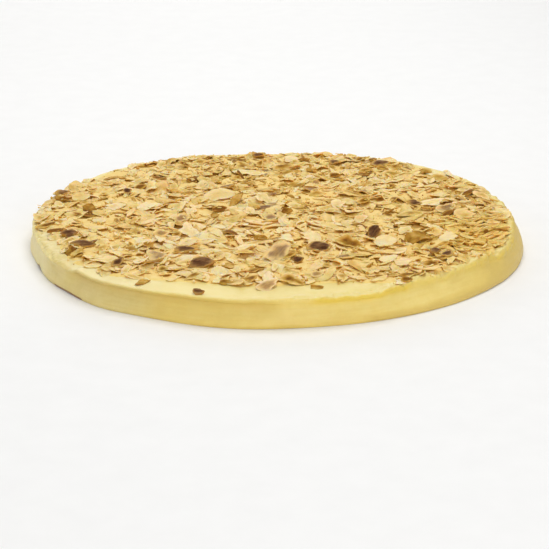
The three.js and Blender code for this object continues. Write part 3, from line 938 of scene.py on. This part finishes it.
def tones():
    """How toasted a slice is, and which of its sides still wear the brown skin."""
    roll = rng.uniform()
    if roll < 0.13:
        return rng.uniform(0.05, 0.23), 0
    if roll < 0.79:
        return rng.normal(0.362, 0.092), 0
    if roll < 0.91:
        return rng.uniform(0.46, 0.62), 0
    if roll < 0.955:
        return rng.uniform(0.62, 0.90), 0
    if roll < 0.985:
        return rng.uniform(0.25, 0.45), 0.5
    return rng.uniform(0.4, 0.7), 1


def whole_slice(length=None, width=None, toast=None, skin=None, broken=None, tone=None, arch=None):
    length = length or float(np.clip(rng.normal(15.4, 2.9), 8.5, 21.0))
    width = width or length * rng.uniform(0.40, 0.62)
    picked, skinned = tones()
    toast = picked if toast is None else toast
    skinned = skinned if skin is None else skin
    o = teardrop(length, width, rng.uniform(0.4, 1.25), rng.normal(0, 0.2), POINTS, 0.055)
    rind = np.ones(POINTS)
    if rng.uniform() < 0.85 if broken is None else broken:
        for _ in range(rng.integers(1, 4)):
            o, cut = snap(o, rng.uniform(0, TAU), rng.uniform(0.25, 0.85), 0.09)
            rind[cut] = 0.0
        o = bite(o, rng.integers(1, 5))
    else:
        o, cut = snap(o, rng.uniform(0, TAU), rng.uniform(0.75, 0.95), 0.06)
        rind[cut] = 0.0
        o = bite(o, rng.integers(1, 4))
    curl = rng.choice([0.7, 1.0, 1.7], p=[0.4, 0.4, 0.2])
    bend = [curl * rng.normal(0, 0.022), curl * rng.normal(0, 0.045), curl * rng.normal(0, 0.028)]
    if arch is not None:
        bend = [arch, 0.5 * bend[1], 0.5 * bend[2]]
    most = 1.5 / (0.5 * length) ** 2  # no end curls up by more than this
    bend = [min(most, bend[0]), float(np.clip(bend[1], -6 * most, 3 * most)), float(np.clip(bend[2], -1.5 * most, 1.5 * most))]
    wave = 0.5 if broken is None else 0.3
    if skinned >= 0.8:  # an outer slice is domed, with the skin on its rounded side
        up = tone is not None or rng.uniform() < 0.75
        bend = (-0.014, -0.034, 0.0) if up else (0.010, 0.030, 0.0)
        return Slice(o, rng.uniform(0.55, 0.8), bend, 0.3, toast, (skinned, 0.0) if up else (0.0, skinned), rng.uniform(0.94, 1.0), rind, tone, wave)
    return Slice(o, rng.uniform(0.32, 0.66), bend, 0.0, toast, (skinned, skinned), rng.uniform(0.93, 1.05), rind, tone, wave)


def shard(toast=None):
    """A narrow broken piece, bent and with torn ends."""
    length = rng.uniform(5.5, 12.0)
    o = teardrop(length, length * rng.uniform(0.22, 0.5), rng.uniform(0.1, 0.8), rng.normal(0, 0.4), 14, 0.09)
    rind = np.ones(14) * (rng.uniform() < 0.5)
    for _ in range(rng.integers(1, 4)):
        o, cut = snap(o, rng.uniform(0, TAU), rng.uniform(0.35, 0.85), 0.12)
        rind[cut] = 0.0
    picked, skinned = tones()
    toast = picked if toast is None else toast
    bend = (min(0.03, rng.normal(0, 0.03)), rng.normal(0, 0.05), rng.normal(0, 0.03))
    return Slice(o, rng.uniform(0.35, 0.7), bend, 0.0, toast, (skinned, skinned), rng.uniform(0.9, 1.08), rind, None, 0.4)


def fragment(toast=None):
    """A chip with a few straight breaks."""
    size = rng.uniform(1.5, 3.9)
    o = teardrop(2 * size, 2 * size * rng.uniform(0.4, 0.9), 0.3, 0.0, 11, 0.06)
    rind = np.ones(11) * (rng.uniform() < 0.5)
    for _ in range(rng.integers(2, 4)):
        o, cut = snap(o, rng.uniform(0, TAU), rng.uniform(0.25, 0.75), 0.06)
        rind[cut] = 0.0
    picked, skinned = tones()
    toast = picked if toast is None else toast
    return Slice(o, rng.uniform(0.35, 0.8), (0, rng.normal(0, 0.03), 0), 0.0, toast, (skinned, 0.0), rng.uniform(0.85, 1.1), rind)


torn = np.random.default_rng(31)


def sliver(golden_only=False):
    """A thin shred with torn ends and a crooked edge."""
    o = teardrop(rng.uniform(6, 14), rng.uniform(1.1, 2.2), rng.uniform(0.1, 0.5), rng.normal(0, 0.6), 11, 0.04)
    toast, skinned = (rng.normal(0.36, 0.08), 0) if golden_only else tones()
    o = o * (1 + 0.10 * torn.standard_normal((11, 1))) * [1.0, torn.uniform(0.75, 1.7)]
    left, right = np.abs(o[:, 0]).max() * torn.uniform(0.5, 0.95, 2)
    o[:, 0] = np.clip(o[:, 0] + torn.normal(0, 0.35) * o[:, 1], -left, right)
    bend = (rng.normal(0, 0.015), torn.normal(0, 0.05), torn.normal(0, 0.03))
    return Slice(o, rng.uniform(0.5, 0.9), bend, 0.0, toast + torn.normal(0, 0.07), (skinned, skinned), torn.uniform(0.85, 1.1), np.full(11, 0.5))


def crumb_template():
    g = (1 + 5**0.5) / 2
    v = np.array([(-1, g, 0), (1, g, 0), (-1, -g, 0), (1, -g, 0), (0, -1, g), (0, 1, g), (0, -1, -g), (0, 1, -g), (g, 0, -1), (g, 0, 1), (-g, 0, -1), (-g, 0, 1)], float)
    f = np.array([(0, 11, 5), (0, 5, 1), (0, 1, 7), (0, 7, 10), (0, 10, 11), (1, 5, 9), (5, 11, 4), (11, 10, 2), (10, 7, 6), (7, 1, 8), (3, 9, 4), (3, 4, 2), (3, 2, 6), (3, 6, 8), (3, 8, 9), (4, 9, 5), (2, 4, 11), (6, 2, 10), (8, 6, 7), (9, 8, 1)])
    return v / np.linalg.norm(v[0]), f


class Crumbs:
    """Chopped bits and crumbs, lying where they fell, joined into one piece."""

    def __init__(self, name):
        self.name, self.verts, self.uvs = name, [], []
        self.made = {k: [] for k in ("local", "rim", "rind", "toast", "skin", "tone", "gold")}

    def drop(self, x, y, size):
        v0, f0 = crumb_template()
        q = np.linalg.qr(rng.standard_normal((3, 3)))[0]
        if np.linalg.det(q) < 0:
            q[:, 0] *= -1
        shape = v0 * rng.uniform(0.7, 1.25, (12, 1)) * rng.uniform(0.45, 1.0, 3) @ q.T * size
        w = window(x, y, CELL)
        z = float(surface[w].mean()) - shape[:, 2].min() - 0.3 * size
        near = np.hypot(GX[w] - x, GY[w] - y) < size
        surface[w] = np.where(near, np.maximum(surface[w], z), surface[w])
        self.verts.append(shape + [x, y, z])
        toast, skinned = tones()
        toast += browning(x, y)
        for key, value in (("rim", 0.5), ("rind", 0.0), ("toast", toast), ("skin", float(skinned)), ("tone", rng.uniform()), ("gold", golden_at(x, y))):
            self.made[key].append(np.full(12, value))
        self.made["local"].append(np.column_stack([shape[:, :2], np.full(12, rng.uniform(0, 200))]))
        way = shape / np.linalg.norm(shape, axis=1)[:, None]
        facing = np.where(way[f0].mean(1)[:, 2] < 0, -1.0, 1.0)[:, None, None]
        flat = way[f0][:, :, :2] / (1 + (way[f0][:, :, 2:] * facing).clip(-0.55))
        self.uvs.append(0.11 * flat + np.where(facing > 0, 0.26, 0.74) * [1, 0] + [0, 0.5])

    def build(self):
        f0 = crumb_template()[1]
        count = len(self.verts)
        grid = math.ceil(math.sqrt(count))
        places = np.array([(i % grid, i // grid) for i in range(count)])[:, None, None, :]
        ob = mesh_object(
            self.name,
            np.concatenate(self.verts),
            (f0[None] + 12 * np.arange(count)[:, None, None]).ravel(),
            np.arange(20 * count) * 3,
            ((np.array(self.uvs) + places) / grid).reshape(-1, 2),
            {k: np.concatenate(v) for k, v in self.made.items()},
            smooth_faces=False,
        )
        ob.data.materials.append(almond_material(self.name))
        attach(ob, "root")
        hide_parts("almond_topping")


# The slices that stand out most: place, length, breadth, heading in degrees, rise
# towards the back, arch, how toasted, and how much of the brown skin is on.
# Painted shade: some narrow, well toasted ones also stand in for dark shadow lines under other slices.
PROMINENT = (
    (-129.3, -20.8, 19.4, 5.2, 26, 0.10, 0.0, 0.64, 0), (-121.1, -33.1, 11.8, 4.6, 19, 0.04, -0.02, 0.84, 0), (-112.8, -42.0, 10.9, 7.6, 5, 0.51, -0.02, 0.6, 1.2),
    (-103.8, -59.0, 15.5, 6.8, 10, 0.30, -0.01, 0.6, 1), (-106.5, 3.2, 9.5, 8.1, -32, 0.43, -0.03, 0.84, 0), (-98.5, -14.7, 9.6, 4.6, 9, 0.27, 0.01, 0.16, 0),
    (-82.3, -90.5, 9.5, 4.2, 52, 0.31, 0.0, 0.5, 0.8), (-68.1, -114.8, 8.4, 5.0, 20, 0.21, 0.02, 0.68, 0), (-58.7, -98.4, 5.7, 4.5, 0, 0.29, 0.0, 0.5, 0),
    (-62.4, -46.0, 9.3, 6.2, 8, 0.51, 0.02, 0.3, 0.5), (-47.5, -56.3, 11.0, 6.9, 12, 0.51, 0.0, 0.16, 0), (-48.2, -68.8, 12.3, 6.9, -4, 0.37, -0.02, 0.5, 0.8),
    (-38.0, -92.0, 14.5, 9.0, 4, 0.5, -0.005, 0.6, 1), (-53.2, -11.9, 9.6, 6.5, 4, 0.51, 0.0, 0.3, 0.5), (-47.9, 2.5, 7.0, 6.6, 12, 0.51, 0.0, 0.03, 0),
    (-87.9, 38.5, 6.3, 5.2, 22, 0.51, -0.02, 0.5, 0.8), (-125.2, 33.8, 9.4, 5.4, 10, 0.47, 0.0, 0.5, 0.8), (-124.1, 24.5, 9.3, 4.6, 7, 0.19, 0.02, 0.84, 0),
    (-92.4, 11.5, 13.0, 7.9, 26, 0.17, 0.0, 0.1, 0), (-73.5, 9.3, 14.7, 10.0, 55, 0.12, 0.0, 0.1, 0), (-114.0, 28.5, 10.6, 7.7, 12, 0.51, 0.0, 0.34, 0),
    (-38.8, -131.6, 6.5, 5.5, 2, 0.51, 0.0, 0.6, 1), (-80.9, 52.3, 8.9, 6.1, 32, 0.24, -0.03, 0.68, 0), (-98.1, 74.4, 14.8, 4.6, 15, 0.03, -0.02, 0.68, 0),
    (-70.5, 72.9, 10.0, 4.6, -10, 0.12, 0.0, 0.84, 0), (-56.3, 101.4, 12.7, 2.5, -47, 0.31, 0.0, 0.68, 0), (-46.5, 107.8, 13.3, 7.4, 7, 0.27, 0.0, 0.5, 0),
    (-63.1, -89.9, 20.5, 4.6, 47, -0.11, 0.02, 0.68, 0), (-81.6, -37.2, 10.5, 4.6, -4, 0.08, -0.02, 0.5, 0), (-67.8, -62.6, 7.0, 4.5, 9, 0.19, 0.02, 0.68, 0),
    (-19.4, 99.1, 20.5, 10.0, -28, 0.12, 0.0, 0.5, 0), (-16.7, 83.5, 20.4, 10.0, -5, 0.11, 0.0, 0.16, 0), (-11.4, 121.7, 7.1, 4.8, 10, 0.51, 0.0, 0.6, 1),
    (9.5, 111.8, 9.6, 9.1, 7, 0.51, 0.0, 0.16, 0), (18.0, 111.6, 8.0, 5.3, 18, 0.39, 0.0, 0.84, 0), (5.3, 94.7, 16.2, 9.0, -4, 0.33, -0.02, 0.5, 0),
    (22.5, 87.6, 7.5, 4.6, 6, 0.51, 0.0, 0.68, 0), (37.0, 104.8, 8.2, 4.7, 0, 0.51, 0.0, 0.5, 0.8), (36.4, 76.6, 7.4, 4.5, 4, 0.31, 0.0, 0.84, 0),
    (54.6, 80.3, 16.1, 4.6, 15, 0.01, 0.0, 0.84, 0), (48.1, 121.5, 7.9, 5.0, 13, 0.45, 0.0, 0.34, 0), (-33.6, 31.6, 20.5, 10.0, 18, 0.36, -0.02, 0.16, 0),
    (-22.6, 23.7, 17.6, 5.3, 67, 0.31, -0.02, 0.68, 0), (-32.3, 6.3, 8.9, 5.1, 16, 0.17, 0.0, 0.84, 0), (-34.9, -10.2, 5.7, 4.5, 11, 0.23, 0.0, 0.68, 0),
    (-12.5, 7.5, 7.3, 4.7, -18, 0.38, 0.0, 0.5, 0), (-2.7, -9.2, 9.3, 6.5, 11, 0.51, 0.0, 0.3, 0.5), (6.4, 0.9, 6.2, 4.9, 21, 0.51, -0.03, 0.84, 0),
    (-24.4, -37.4, 14.8, 4.6, -44, 0.02, -0.02, 0.84, 0), (-8.4, -49.3, 8.2, 4.6, -6, 0.33, 0.02, 0.68, 0), (-4.9, -52.4, 18.1, 4.6, 26, -0.08, 0.02, 0.68, 0),
    (24.4, 38.1, 10.8, 6.3, 8, 0.46, -0.02, 0.5, 0), (36.0, 14.4, 9.3, 7.2, 26, 0.43, 0.0, 0.1, 0), (11.7, -85.8, 6.4, 5.1, 16, 0.45, 0.0, 0.6, 1.2),
    (23.8, -64.9, 15.7, 8.9, 7, 0.43, -0.01, 0.5, 0.8), (1.5, -77.8, 19.0, 11.5, 59, 0.45, 0.0, 0.3, 0.5), (-4.2, -123.0, 14.0, 8.8, 45, 0.31, 0.0, 0.3, 0.5),
    (8.0, -116.8, 13.4, 8.1, -25, 0.16, -0.025, 0.55, 0), (-13.1, -113.5, 10.6, 6.9, 44, 0.13, -0.02, 0.68, 0), (-24.9, -117.6, 8.1, 4.5, 0, 0.2, 0.0, 0.68, 0),
    (21.0, -110.4, 6.7, 5.0, -6, 0.51, 0.0, 0.3, 0.5), (20.5, -123.7, 7.0, 4.5, 0, 0.26, 0.0, 0.68, 0), (-15.4, -72.1, 12.1, 7.1, 16, 0.23, 0.0, 0.1, 0),
    (40.3, -59.1, 16.3, 10.0, -24, 0.4, 0.0, 0.64, 0), (39.7, -22.0, 6.8, 6.4, 9, 0.51, 0.0, 0.34, 0), (41.0, -96.3, 12.4, 4.1, -58, 0.31, -0.02, 0.5, 0),
    (26.8, -95.4, 5.3, 4.5, -13, 0.15, 0.0, 0.5, 0), (66.2, 105.6, 12.9, 7.5, 10, 0.27, -0.02, 0.5, 0.8), (92.6, 86.6, 8.3, 5.5, 11, 0.51, -0.02, 0.68, 0),
    (99.1, 70.1, 13.0, 7.4, 7, 0.25, 0.0, 0.5, 0), (115.7, 38.0, 18.7, 4.6, 47, 0.02, -0.04, 0.84, 0), (120.8, 26.5, 15.4, 5.3, -55, 0.31, 0.0, 0.34, 0),
    (80.4, 17.3, 9.8, 5.4, -3, 0.44, 0.0, 0.5, 0.8), (50.9, 17.7, 7.6, 5.1, 3, 0.51, -0.02, 0.68, 0), (91.9, 19.2, 18.2, 10.0, 29, 0.07, 0.0, 0.1, 0),
    (97.3, 3.2, 12.0, 7.6, 12, 0.49, -0.02, 0.3, 0.5), (98.5, -2.7, 11.6, 4.6, 33, 0.11, -0.03, 0.84, 0), (106.2, -10.1, 13.1, 9.8, 13, 0.51, 0.0, 0.34, 0),
    (77.8, -5.4, 20.5, 10.0, -31, 0.05, -0.02, 0.5, 0), (48.4, -14.1, 8.7, 6.1, 22, 0.42, -0.02, 0.16, 0), (49.2, -25.9, 17.3, 4.6, -45, -0.05, 0.0, 0.84, 0),
    (54.0, -41.0, 10.6, 6.8, 62, 0.75, 0.0, 0.6, 1.2), (59.3, -57.1, 13.7, 8.8, 15, 0.46, 0.0, 0.1, 0), (71.9, -35.4, 9.3, 7.8, 35, 0.4, 0.0, 0.1, 0),
    (76.8, -49.4, 18.1, 10.0, 17, 0.3, -0.045, 0.74, 0), (94.1, -44.7, 10.9, 7.0, 13, 0.51, 0.0, 0.03, 0), (87.7, -28.2, 13.6, 4.6, -40, 0.05, 0.0, 0.1, 0),
    (66.7, -92.2, 11.5, 6.9, 14, 0.33, 0.0, 0.16, 0), (68.4, -107.4, 11.3, 4.6, 3, 0.09, 0.02, 0.68, 0), (59.3, -82.2, 11.3, 7.4, 30, 0.2, 0.0, 0.1, 0),
    (84.2, -73.7, 6.7, 4.5, 14, 0.33, 0.0, 0.6, 1), (90.6, -78.4, 7.9, 6.1, 43, 0.24, 0.0, 0.5, 0.8), (81.2, -87.0, 8.4, 5.3, 17, 0.33, 0.0, 0.68, 0),
    (68.0, -116.3, 6.1, 4.5, 21, 0.14, 0.0, 0.84, 0),
)


def make_bed():
    step = 1.25
    line = np.arange(-HALF + 8, HALF - 8, step)
    x, y = np.meshgrid(line, line, indexing="ij")
    x = x + 0.3 * step * noise(x / 1.7, y / 1.7, 1.0)
    y = y + 0.3 * step * noise(x / 1.7, y / 1.7, 5.0)
    z = bed_height(x, y)
    keep = (np.hypot(x, y) < topping_reach(np.arctan2(y, x)) + 3.5) & (within_lip(x, y) > 2.5)
    number = -np.ones(x.shape, int)
    number[keep] = np.arange(keep.sum())
    corners = np.stack([number[:-1, :-1], number[1:, :-1], number[1:, 1:], number[:-1, 1:]], -1).reshape(-1, 4)
    corners = corners[(corners >= 0).all(1)]
    verts = np.column_stack([x[keep], y[keep], z[keep]])
    loops = corners.ravel()
    uv = 0.5 + verts[loops, :2] * (0.48 / CAKE_RADIUS)
    ob = mesh_object("cream_between_almonds", verts, loops, np.arange(len(corners)) * 4, uv, {"crust": np.zeros(len(verts)), "under": bed_share(x[keep], y[keep])})
    ob.data.materials.append(cream_material("crumbed_buttercream", bed=True))
    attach(ob, "root")
    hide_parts("almond_topping")


def make_topping():
    pale = Batch("flakes_pale", POINTS)
    golden = Batch("flakes_golden", POINTS)
    toasted = Batch("flakes_toasted", POINTS)
    skinned = Batch("flakes_skin", POINTS)
    bits = Batch("flake_fragments", 11, (0.6, 1.0))
    broken = Batch("flake_shards", 14, (0.4, 0.75, 1.0))
    shreds = Batch("flake_slivers", 11, (0.6, 1.0))
    crumbs = Crumbs("almond_crumbs")

    def batch_of(piece):
        if max(piece.skin) > 0:
            return skinned
        return pale if piece.toast < 0.24 else golden if piece.toast < 0.5 else toasted

    def flake(tries, spare, lean, sink):
        piece = whole_slice()
        x, y = pick(spare, tries)
        heading = min((rng.uniform(0, TAU) for _ in range(3)), key=lambda h: max(0.0, over(piece, x, y, h)))
        out = max(0.0, over(piece, x, y, heading))
        r = math.hypot(x, y)
        x, y = x * (r - out) / r, y * (r - out) / r
        settle(batch_of, piece, x, y, heading, rng.normal(0, lean, 2), sink, 0.36 if r < 112 else 0.24)

    def scrap(maker, batch, tries, lean):
        x, y = pick(3.0, tries, 0.6, 0.4)
        settle(batch, maker(), x, y, rng.uniform(0, TAU), rng.normal(0, lean, 2), 0.2, 0.5 if math.hypot(x, y) < 112 else 0.3)

    def sprinkle(count, spare=-1.0):
        left = count
        while left:
            x, y = rng.uniform(-HALF + 12, HALF - 12, 2)
            if allowed(x, y, spare):
                crumbs.drop(x, y, rng.choice([0.4, 0.6, 0.85, 1.2], p=[0.3, 0.35, 0.22, 0.13]) * rng.uniform(0.8, 1.2))
                left -= 1

    sprinkle(1500)
    for _ in range(260):
        scrap(fragment, bits, 2, 0.12)
    for _ in range(430):
        flake(5, 1.0, 0.08, 0.45)
    sprinkle(600)
    for _ in range(180):
        scrap(fragment, bits, 2, 0.2)
    for _ in range(240):
        scrap(shard, broken, 3, 0.16)
    for _ in range(60):
        scrap(sliver, shreds, 2, 0.2)
    for _ in range(340):
        flake(4, 1.0, 0.13, 0.35)
    sprinkle(150)
    for _ in range(60):
        scrap(fragment, bits, 2, 0.2)
    for _ in range(130):
        scrap(shard, broken, 2, 0.2)
    for _ in range(50):
        scrap(sliver, shreds, 2, 0.2)
    # Fine shreds, thickest near the +X rim.
    left = 190
    while left:
        x, y = rng.normal(113, 12), rng.normal(-20, 28)
        if allowed(x, y, 0.5):
            settle(shreds, sliver(golden_only=True), x, y, rng.normal(0.1, 0.5), rng.normal(0, 0.06, 2), 0.45, 0.35)
            left -= 1
    # Painted shade: dark little bits, very toasted chips, darkest on the +X side where they also stand in for the
    # shadow lines under raised slices.
    for _ in range(45):  # dark little bits
        x, y = pick(3.0, 1)
        lay(bits, fragment(rng.uniform(0.85, 1.0) if x > 35 else rng.uniform(0.5, 0.85)), x, y, rng.normal(0, 0.6), rng.normal(0, 0.2, 2), 0.2, 0.5)
    for x, y, length, width, heading, rise, arch, toast, skin in PROMINENT:
        toast += 0.08 if toast >= 0.5 else 0.0
        dark = rng.uniform(0.0, 0.3) - (0.30 if skin > 1 else 0.1)
        piece = whole_slice(length, width, toast, skin, False, dark if skin > 0.6 else None, arch)
        x, y, heading = x - MEASURED[0], y - MEASURED[1], math.radians(heading)
        c, s = math.cos(heading), math.sin(heading)
        px, py = x + c * piece.outline[:, 0] - s * piece.outline[:, 1], y + s * piece.outline[:, 0] + c * piece.outline[:, 1]
        out = max(0.0, float((np.hypot(px, py) - rim_reach(np.arctan2(py, px)) + 0.8).max()))
        x, y = x * (1 - out / math.hypot(x, y)), y * (1 - out / math.hypot(x, y))
        steep = max(0.5, rise) if y < 60 else 0.3
        if min(rise, steep) > 0.15 and allowed(x, y, 2.0):  # broken bits under the raised edge
            deep = np.ptp(py) / 2
            for _ in range(2 if width < 7 else 3):
                bx, by = x + rng.uniform(-0.3, 0.3) * np.ptp(px), y + deep * rng.uniform(0.35, 0.75)
                settle(bits, fragment(rng.uniform(0.2, 0.5)), bx, by, rng.uniform(0, TAU), rng.normal(0, 0.15, 2), 0.1, 0.4)
        if rise > 0.6:  # and longer ones stacked behind a steep slice
            for up in (0.5, 0.75, 0.9, 0.7, 0.95):
                settle(broken, shard(rng.uniform(0.25, 0.5)), x + rng.normal(0, 0.8), y + deep * up, rng.normal(0.1, 0.5), (0.0, 0.1), 0.05, 0.3)
        lay(batch_of(piece), piece, x, y, heading, (0.0, rise), 0.15, steep, 0.45)
    heap = (surface - ground)[np.hypot(GX, GY) < 110]
    print("heap: mean %.2f, highest %.2f mm" % (heap.mean(), heap.max()))
    for b in (pale, golden, toasted, skinned, broken, bits, shreds, crumbs):
        b.build()


# ---- the room ---------------------------------------------------------------------
def floor_material():
    n = Nodes("pale_floor")
    place = n.add("ShaderNodeTexCoord").outputs["Object"]
    grain = n.noise(place, 60.0, 4.0)
    n.put(n.bsdf.inputs["Base Color"], n.ramp(grain, [(0.3, (0.86, 0.86, 0.855)), (0.7, (0.88, 0.88, 0.875))]))
    n.bsdf.inputs["Roughness"].default_value = 0.7
    n.bsdf.inputs["Specular IOR Level"].default_value = 0.2
    return n.mat


def make_room():
    me = bpy.data.meshes.new("floor")
    me.from_pydata([(-6, -6, 0), (6, -6, 0), (6, 6, 0), (-6, 6, 0)], [], [(0, 1, 2, 3)])
    floor = bpy.data.objects.new("floor", me)
    bpy.context.scene.collection.objects.link(floor)
    me.materials.append(floor_material())
    floor.location.z = -0.00003

    world = bpy.data.worlds.new("soft_white")
    bpy.context.scene.world = world
    world.use_nodes = True
    back = world.node_tree.nodes["Background"]
    back.inputs["Color"].default_value = (1.0, 0.99, 0.97, 1.0)
    back.inputs["Strength"].default_value = 0.43

    def lamp(name, place, aim, size, power):
        data = bpy.data.lights.new(name, "AREA")
        data.shape = "DISK"
        data.size = size
        data.energy = power
        ob = bpy.data.objects.new(name, data)
        bpy.context.scene.collection.objects.link(ob)
        ob.location = place
        way = np.array(aim, float) - np.array(place, float)
        from mathutils import Vector

        ob.rotation_mode = "QUATERNION"
        ob.rotation_quaternion = Vector(way).to_track_quat("-Z", "Y")
        return ob

    lamp("overhead", (0.10, 0.20, 1.30), (0, 0, 0), 1.1, 9.9)
    lamp("behind", (-0.1, 1.45, 0.52), (0, 0, 0), 1.2, 5.0)
    lamp("front", (0.30, -1.35, 0.50), (0, 0, 0), 0.7, 6.4)
    lamp("left", (-1.35, 0.25, 0.45), (0, 0, 0), 0.8, 2.3)


def make_camera():
    distance, elevation = 1000.0, math.radians(19.05)
    data = bpy.data.cameras.new("camera")
    data.sensor_width = 36.0
    data.lens = 36.0 * 1732.5 / 549.0
    data.clip_start, data.clip_end = 0.01, 50.0
    cam = bpy.data.objects.new("camera", data)
    bpy.context.scene.collection.objects.link(cam)
    place = np.array([-0.88, -distance * math.cos(elevation), -20.0 + distance * math.sin(elevation)])
    cam.location = (place + SHIFT - MEASURED) * MM
    cam.rotation_euler = (math.pi / 2 - elevation, 0.0, 0.0)
    bpy.context.scene.camera = cam


make_camera()
make_room()
make_cream()
make_bed()
make_topping()

bpy.context.scene.view_settings.view_transform = "Standard"
bpy.context.scene.view_settings.look = "None"

bpy.context.view_layer.update()
